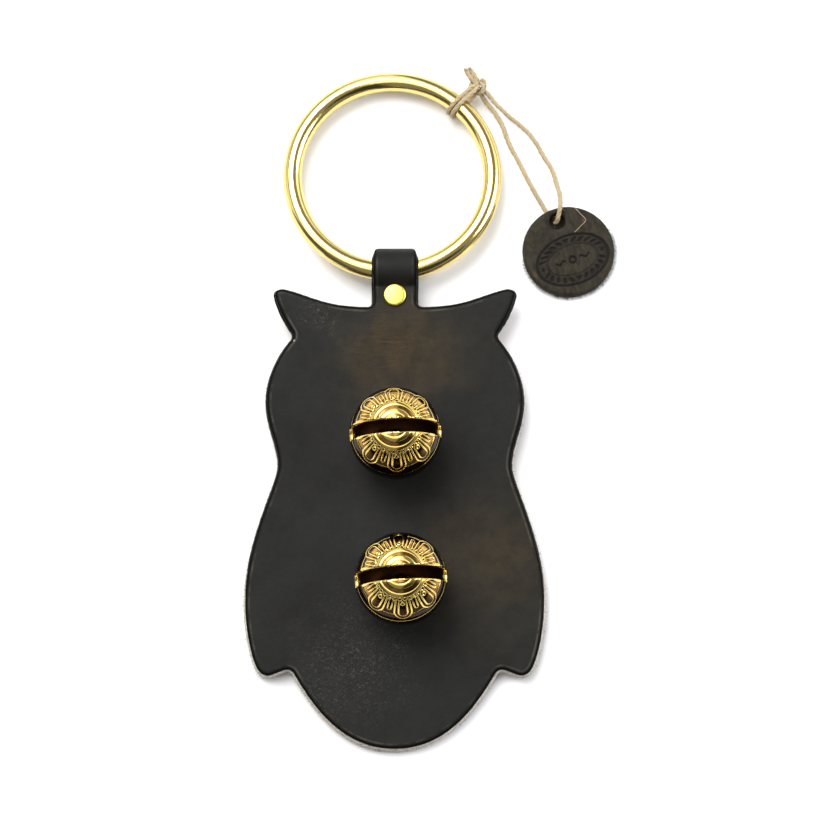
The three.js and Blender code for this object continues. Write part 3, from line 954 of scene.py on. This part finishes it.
def cut_out(obj, *cutters):
    """Subtracts the cutters from a closed mesh and removes them."""
    for cutter in cutters:
        step = obj.modifiers.new("cut", "BOOLEAN")
        step.operation, step.object, step.solver = "DIFFERENCE", cutter, "MANIFOLD"
    bpy.context.view_layer.update()
    result = bpy.data.meshes.new_from_object(obj.evaluated_get(bpy.context.evaluated_depsgraph_get()))
    obj.modifiers.clear()
    obj.data = result
    for cutter in cutters:
        bpy.data.objects.remove(cutter)


def box(name, size, centre, matrix):
    signs = [(x, y, z) for x in (-1, 1) for y in (-1, 1) for z in (-1, 1)]
    points = np.array(signs) * np.array(size) / 2 + centre
    faces = [(0, 1, 3, 2), (4, 6, 7, 5), (0, 4, 5, 1), (2, 3, 7, 6), (0, 2, 6, 4), (1, 5, 7, 3)]
    return add_mesh(name, points, faces, SCREW_MATERIAL, matrix)


def fasteners(name):
    to_row = bell_frame(name)
    under = SCREW_TOP
    profile = rounded([(0, under - 2.4), (3.0, under - 2.4), (3.8, under - 1.6), (3.8, under + 0.1),
                       (1.9, under + 0.1), (1.9, 6.0), (0, 6.0)], 0.55)
    screw = turned_piece(f"{name}_bell_screw", profile, 64, SCREW_MATERIAL, to_row)
    recess = under - 2.4
    arms = [box(f"arm_{i}", size, (0, 0, recess), to_row)
            for i, size in enumerate(((4.2, 1.0, 2.6), (1.0, 4.2, 2.6)))]
    cut_out(screw, *arms)
    place(screw, "hanger", "steel", f"{name}_screw")
    top = WASHER_TOP + 0.25
    bottom = under + 0.1
    sides = 72
    rings = rings_about_z([(2.3, bottom), (5.75, bottom), (6.0, bottom + 0.25), (6.0, top - 0.25),
                           (5.75, top), (2.3, top)], sides)
    washer = add_mesh(f"{name}_bell_washer", np.concatenate(rings),
                      ring_faces(len(rings), sides, closed_rings=True), SCREW_MATERIAL, to_row, smooth=False)
    place(washer, "hanger", "steel", f"{name}_washer")


def clapper(name):
    profile = [(CLAPPER_R * sin(t), CLAPPER_Z - CLAPPER_R * cos(t))
               for t in np.linspace(0, pi, 40)]
    ball = turned_piece(f"{name}_bell_ball", profile, 64, CLAPPER_MATERIAL, bell_frame(name))
    place(ball, f"{name}_ball", "steel", f"{name}_clapper")


# ---- bells ----
PETALS = 8
PETAL_END = 18.0  # where a petal's half circle begins, along the skin from the crown
TONGUE_END = 16.4
ORNAMENT_END = radians(77)
BELL_SIDES = 448
SKIN = 0.06  # how near a point is to the sphere when it is on the outside


def ornament(s, turn, spread=1.0):
    """Relief at arc distance s from the bell's crown and angle turn round it, from 0 to 1.

    A spread above 1 gives wider lines, which also cover the creases beside them."""
    def stroke(distance, half_width):
        return np.sqrt(np.clip(1 - (distance / (half_width * spread)) ** 2, 0, 1))

    ring = BELL_R * np.sin(s / BELL_R)
    sector = 2 * pi / PETALS
    off = ((turn + pi / 2) / sector + 0.5) % 1 - 0.5
    across = np.abs(off) * sector * ring
    between = (0.5 - np.abs(off)) * sector * ring
    leaf = np.abs((turn * 6 / (2 * pi) + 0.5) % 1 - 0.5) * 2 * pi / 6 * s
    scallop = np.abs((turn * 4 * PETALS / (2 * pi)) % 1 - 0.5) * sector / 4 * ring
    # petals widen outwards and end in a half circle, with a narrow tongue between each two
    taper = ring / (BELL_R * sin(PETAL_END / BELL_R))
    tip = np.hypot(across, s - PETAL_END)
    outer = np.where(s > PETAL_END, tip - 3.6, across - 3.6 * taper)
    inner = np.where(s > PETAL_END, tip - 1.9, across - 1.9 * taper)
    tongue = np.where(s > TONGUE_END, np.hypot(between, s - TONGUE_END), between)
    return np.maximum.reduce([
        stroke(np.hypot(leaf, (s - 3.0) * 0.6), 0.66),  # rosette
        stroke(s - 6.0, 1.05) ** 0.5,  # two smooth bands
        stroke(s - 9.9, 0.9) ** 0.5,
        0.9 * stroke(np.hypot(scallop, s - 11.3) - 0.75, 0.2) * (s > 10.9),
        stroke(outer, 0.30) * (s > 11.0),  # double petals
        stroke(inner, 0.27) * (s > 12.2),
        stroke(np.hypot(across, s - 13.4) - 0.7, 0.27),
        stroke(tongue - 0.75, 0.24) * (s > 11.4),
        stroke(s - 19.2, 0.26) * (outer > 0),  # closing circles
        0.4 * stroke(s - 24.0, 0.26),
    ])


def bell(name):
    to_row = bell_frame(name)
    foot = pi - asin(BELL_FOOT_R * 0.8 / BELL_R)
    tilts = np.concatenate([
        np.linspace(0.004, radians(7), 10, endpoint=False),
        np.linspace(radians(7), ORNAMENT_END, 116, endpoint=False),
        np.linspace(ORNAMENT_END, foot, 26)])
    base = 4.05
    profile = [(0, BELL_Z + BELL_R)]
    profile += [(BELL_R * sin(t), BELL_Z + BELL_R * cos(t)) for t in tilts]
    profile += [(BELL_FOOT_R * 0.86, base + 2.1), (BELL_FOOT_R * 0.92, base + 1.4), (BELL_FOOT_R, base + 0.9),
                (BELL_FOOT_R, base + 0.15), (BELL_FOOT_R - 0.2, base), (0, base)]
    points, faces = turned(profile, BELL_SIDES)
    shell = add_mesh(f"{name}_brass_bell", points, flipped(faces), BELL_MATERIAL)
    bore = BELL_R - BELL_WALL
    inside = [(bore * sin(t), BELL_Z - bore * cos(t)) for t in np.linspace(0, pi, 60)]
    hollow = turned_piece("hollow", inside, 96, BELL_MATERIAL)
    neck = acos(SLOT_HALF / SLOT_END_R)
    a = np.linspace(pi - neck, 2 * pi + neck, 40)
    shape = np.concatenate([[[SLOT_HALF, BELL_R + 1], [-SLOT_HALF, BELL_R + 1]],
                            (0, SLOT_END_Z) + circle(SLOT_END_R, a)])
    n = len(shape)
    slab = np.concatenate([np.column_stack([np.full(n, x), shape[:, 0], shape[:, 1] + BELL_Z])
                           for x in (-1.5 * BELL_R, 1.5 * BELL_R)])
    slab_faces = [*ring_faces(2, n), tuple(reversed(range(n))), tuple(range(n, 2 * n))]
    slot = add_mesh("slot", slab, slab_faces, BELL_MATERIAL)
    cut_out(shell, hollow, slot)
    finish_bell(shell, to_row)
    place(shell, "hanger", "bell_brass", f"{name}_bell")


def finish_bell(shell, to_row):
    """Raises the ornament on the cut shell, softens the slot's edges and moves it into place."""
    mesh = shell.data
    points = np.empty(len(mesh.vertices) * 3)
    mesh.vertices.foreach_get("co", points)
    points = points.reshape(-1, 3) / MM - (0, 0, BELL_Z)
    far = np.linalg.norm(points, axis=1)
    s = BELL_R * np.arccos(np.clip(points[:, 2] / np.maximum(far, 1e-6), -1, 1))
    turn = np.arctan2(points[:, 1], points[:, 0])
    skin = np.abs(far - BELL_R) < SKIN
    rise = ornament(s, turn)
    above = points[:, 2] > SLOT_END_Z
    to_slot = np.where(above, np.abs(points[:, 1]) - SLOT_HALF,
                       np.hypot(points[:, 1], points[:, 2] - SLOT_END_Z) - SLOT_END_R)
    lip = np.clip(1 - to_slot / 0.55, 0, 1)
    lift = 0.24 * rise * np.clip(to_slot / 0.7, 0, 1) - 0.22 * lip ** 2
    points[skin] *= (1 + lift[skin] / BELL_R)[:, None]
    points = moved(points + (0, 0, BELL_Z), to_row)
    mesh.vertices.foreach_set("co", points.ravel())
    mesh.update()
    plain = lip >= 0.3
    # painted reflection of the dark leather and the room's dark side: the ground is darkened on the lower
    # half (below) and past the shoulder (rim); it is also darker in the creases beside the raised lines
    # (crease)
    below = np.clip(-1.5 * np.sin(turn) - 0.1, 0, 1) * np.clip((s - 10.8) / 2.0, 0, 1)
    rim = np.clip((s - 16.8 - 1.2 * (np.sin(turn) < 0)) / 1.0, 0, 1) * (1 - 0.6 * np.clip((s - 27) / 4, 0, 1))
    crease = np.clip(1.6 * (ornament(s, turn, 2.4) - rise), 0, 1) * np.where(s > 10.6, 0.85, 0.35)
    set_values(shell, gold=np.where(skin, np.maximum(rise, plain), 0.25),
               dusk=np.maximum.reduce([below, rim, crease]) * ~plain,
               inside=np.clip((BELL_R - 0.5 - far) / (BELL_WALL - 0.6), 0, 1))


for bell_name in BELLS:
    bell(bell_name)
    fasteners(bell_name)
    clapper(bell_name)


# ---- hang tag ----
STAMP_CENTRE = (0.3, -4.1)


def stamp_depth(x, y):
    """How far the tag's face is pressed in: two ovals, a wreath of leaves between them, dot and waves."""
    u, v = x - STAMP_CENTRE[0], y - STAMP_CENTRE[1]
    outer = (np.hypot(u / 15.4, v / 10.4) - 1) * 12.4
    border = np.clip(1.6 - np.abs(outer) / 0.5, 0, 1)
    inner = (np.hypot(u / 11.0, v / 6.3) - 1) * 8.2
    rim = np.clip(1.4 - np.abs(inner) / 0.34, 0, 1) * 0.6
    band = 0.3 * ((outer < 0) & (inner > 0))
    # slanted leaves, bare where the wreath's two halves meet
    angle = np.arctan2(v / 8.3, u / 13.2)
    leaves = 26
    along = ((angle / (2 * pi) * leaves) % 1 - 0.5) * 2.75
    across = (np.hypot(u / 13.2, v / 8.3) - 1) * 10.4
    slant = along + 0.45 * across * np.sign(np.cos(angle))
    leaf = np.clip(2.6 - 2.6 * np.hypot(slant / 1.1, across / 1.8), 0, 1)
    leaf *= np.abs(np.sin(angle)) > 0.20
    bud = np.clip(2.2 - 2.2 * np.hypot(np.abs(u) - 13.2, v) / 1.0, 0, 1)
    # a small ring between short waves
    ring = np.clip(1.6 - np.abs(np.hypot(u, v) - 1.35) / 0.36, 0, 1)
    wave = np.abs(v - 0.6 * np.sin((np.abs(u) - 3.0) * 1.7))
    waves = np.clip(1.6 - wave / 0.36, 0, 1) * (np.abs(u) > 3.0) * (np.abs(u) < 7.4)
    return np.maximum.reduce([border, rim, band, leaf, bud, ring, waves])


def hole_fibres_and_shade(hole, centre):
    """Torn flesh fibres packed dark and dense across the underside of the punched hole, as painted shade
    inside the hole.
    """
    built = Builder()
    for _ in range(300):
        root = hole[rng.integers(len(hole))]
        tip = centre + rng.normal(0, 1.5, 2)
        z = rng.uniform(0.1, 1.0)
        t = hair_run()
        hair = np.column_stack([root + (tip - root) * t + rng.normal(0, 0.35, 2) * t * (1 - t) * 4,
                                z + rng.normal(0, 0.15) * t])
        built.add(*tube(hair, hair_radius(0.15, 0.06), 4))
    tuft = add_mesh("hole_fibres_and_shade", built.all_points(), built.faces,
                    plain_fibre("hole fibre and shade", rgb(52, 42, 32)), TAG)
    place(tuft, "tag", "tag_leather")


def hang_tag():
    n = 300
    a = round_angles(n)
    outline = circle(TAG_R, a)
    outline *= 1 + 0.0025 * np.sin(3 * a + 1)[:, None]
    inward = inward_of(outline)
    hole_n = 72
    hole_centre = np.array((0, HOLE_OFFSET.length))
    hole = hole_centre + circle(TAG_HOLE_R, -round_angles(hole_n))
    hole_out = inward_of(hole)
    sides = [(0.55, 3.1), (0.35, 2.75), (0.22, 2.2), (0.14, 1.6), (0.08, 1.0), (0.08, 0.4), (0.3, 0.05),
             (0.6, 0.0)]
    rings, holes, raw = [], [], []
    for inset, height in sides:
        wobble = roughness_of(outline, height, (1, 2), (3, 3), 0.7)
        rings.append(at_height(outline + inward * (inset + 0.16 * wobble)[:, None], height))
        holes.append(at_height(hole + hole_out * 0.35 * (inset / 0.6) ** 2, height))
        raw.append(float(2.6 > height))
    built = Builder().add(np.concatenate(rings), flipped(ring_faces(len(rings), n)))
    built.add(np.concatenate(holes), flipped(ring_faces(len(holes), hole_n)))
    side_count = built.count
    hole_first = len(rings) * n

    def cap(ring, hole_ring, step, margin, level):
        """Fills between a side ring and a hole ring; level gives each inner point's height."""
        inner, far = grid_in(ring[:, :2], step, margin)
        clear = np.linalg.norm(inner - hole_centre, axis=1) - TAG_HOLE_R
        keep = clear > 0.75
        inner, far, clear = inner[keep], far[keep], clear[keep]
        found = filled([ring[:, :2], hole_ring[:, :2]], inner)
        return np.column_stack([inner, level(inner, far, clear)]), found

    def top_level(inner, far, clear):
        near = np.clip(1 - far / 1.3, 0, 1) ** 2 + 0.6 * np.clip(1 - (clear - 0.3) / 1.2, 0, 1) ** 2
        return TAG_T - 0.3 * near - 0.42 * stamp_depth(inner[:, 0], inner[:, 1])

    def low_level(inner, far, clear):
        return np.zeros(len(inner))

    top, top_faces = cap(rings[0], holes[0], step=0.30, margin=0.35, level=top_level)
    low, low_faces = cap(rings[-1], holes[-1], step=1.5, margin=1.0, level=low_level)
    points = np.concatenate([built.all_points(), top, low])
    last = len(sides) - 1
    faces = built.faces + renumbered(top_faces, (0, n), (hole_first, hole_n), (side_count, len(top)))
    faces += flipped(renumbered(low_faces, (last * n, n), (hole_first + last * hole_n, hole_n),
                                (side_count + len(top), len(low))))
    piece = add_mesh("leather_tag", points, faces, TAG_MATERIAL, TAG)
    pressed = np.zeros(len(points))
    pressed[side_count:side_count + len(top)] = stamp_depth(top[:, 0], top[:, 1])
    set_values(piece, flat=points, pressed=pressed, raw=np.concatenate([
        np.repeat(raw, n), np.repeat(raw, hole_n) * 0.5, np.zeros(len(top)), np.ones(len(low))]))
    place(piece, "tag", "tag_leather", "hang_tag")
    low_side = outline[:, 1] < 0.2 * TAG_R
    edge_fibres(outline, inward, TAG, "tag_fibres", "tag", "tag_leather",
                count=420, height=(0.2, 2.6), reach=1.3, chosen=low_side)
    # dark fibres across the hole's underside that stand in for the shade inside the hole
    hole_fibres_and_shade(hole, hole_centre)
    return piece


tag_piece = hang_tag()


def stray_fibre():
    """A pale hair that lies bent on the tag's face."""
    z = TAG_T + 0.12
    line = smoothed([(9.0, 16.4, z), (10.2, 13.2, z + 0.2), (11.4, 10.0, z), (8.4, 8.2, z + 0.2),
                     (5.1, 6.6, z)], 0.4)
    material = plain_fibre("stray fibre", rgb(214, 190, 158))
    hair = add_mesh("stray_fibre", *tube(line, 0.11, 4), material, TAG)
    place(hair, "tag", "tag_leather")


stray_fibre()


# ---- floor, world and lights ----
BACKDROP = 0.57  # the world's level where the camera looks straight at it


def floor():
    s = Shader("floor", Roughness=0.6, Specular_IOR_Level=0.2)
    s.use(Base_Color=(0.96, 0.96, 0.98, 1))
    size = 4.0
    points = [(-size, -size, 0), (size, -size, 0), (size, size, 0), (-size, size, 0)]
    sheet = add_mesh("floor", points, [(0, 1, 2, 3)], s.material, Matrix.Identity(4), smooth=False)


def world():
    """A pale studio: bright overhead and behind the object, darker towards the camera's side."""
    made = bpy.data.worlds.new("studio")
    made.use_nodes = True
    bpy.context.scene.world = made
    tree = Tree(made.node_tree)
    tree.nodes.clear()
    direction = tree.node("ShaderNodeTexCoord").outputs["Generated"]
    axes = tree.node("ShaderNodeSeparateXYZ", {"Vector": direction}).outputs

    def strips(axis, stops):
        """Light levels at angles in degrees from straight up towards an axis, eased from one to the next."""
        angle = tree.math("ARCTAN2", axes[axis], axes["Z"])
        turn = {"Value": angle, "From Min": -pi, "From Max": pi}
        made_ramp = tree.node("ShaderNodeValToRGB", {
            "Fac": tree.node("ShaderNodeMapRange", turn).outputs["Result"]})
        table = made_ramp.color_ramp
        table.interpolation = "EASE"
        while len(table.elements) > 1:
            table.elements.remove(table.elements[-1])
        for i, (degrees, level) in enumerate(stops):
            at = 0.5 + degrees / 360
            stop = table.elements[0] if i == 0 else table.elements.new(at)
            stop.position = at
            stop.color = (level, level, level, 1)
        return made_ramp.outputs["Color"]

    sideways = strips("X", [(-62, 0.62), (-57, 0.18), (-51, 0.18), (-43, 1.0), (3, 1.0), (10, 0.16),
                            (42, 0.16), (50, 1.0), (74, 1.0), (82, 0.35), (90, 0.6)])
    lengthways = strips("Y", [(-90, 0.12), (-22, 0.16), (-15, 1.0), (52, 1.0), (60, 0.6)])
    level = tree.mix(1.0, sideways, lengthways, "MULTIPLY")
    seen = tree.node("ShaderNodeLightPath").outputs["Is Camera Ray"]
    shown = tree.mix(seen, level, (BACKDROP, BACKDROP, BACKDROP, 1))
    light = tree.node("ShaderNodeBackground", {"Color": shown, "Strength": 1.75})
    tree.node("ShaderNodeOutputWorld", {"Surface": light.outputs["Background"]})


def softbox(name, spot, size, power, colour):
    """A round area light that faces the row's origin."""
    lamp = bpy.data.lights.new(name, "AREA")
    lamp.shape, lamp.size, lamp.energy, lamp.color = "DISK", size, power, colour
    obj = bpy.data.objects.new(name, lamp)
    obj.location = spot
    obj.rotation_euler = (-Vector(spot)).to_track_quat("-Z", "Y").to_euler()
    bpy.context.collection.objects.link(obj)


floor()
world()
softbox("key", (-0.7, 0.9, 1.8), size=1.5, power=34, colour=(1.0, 0.99, 0.96))
softbox("fill", (1.5, 0.2, 1.1), size=1.1, power=14, colour=(0.95, 0.97, 1.0))

view = bpy.context.scene.view_settings
view.view_transform = "Standard"
view.look = "None"
view.exposure = 0.0
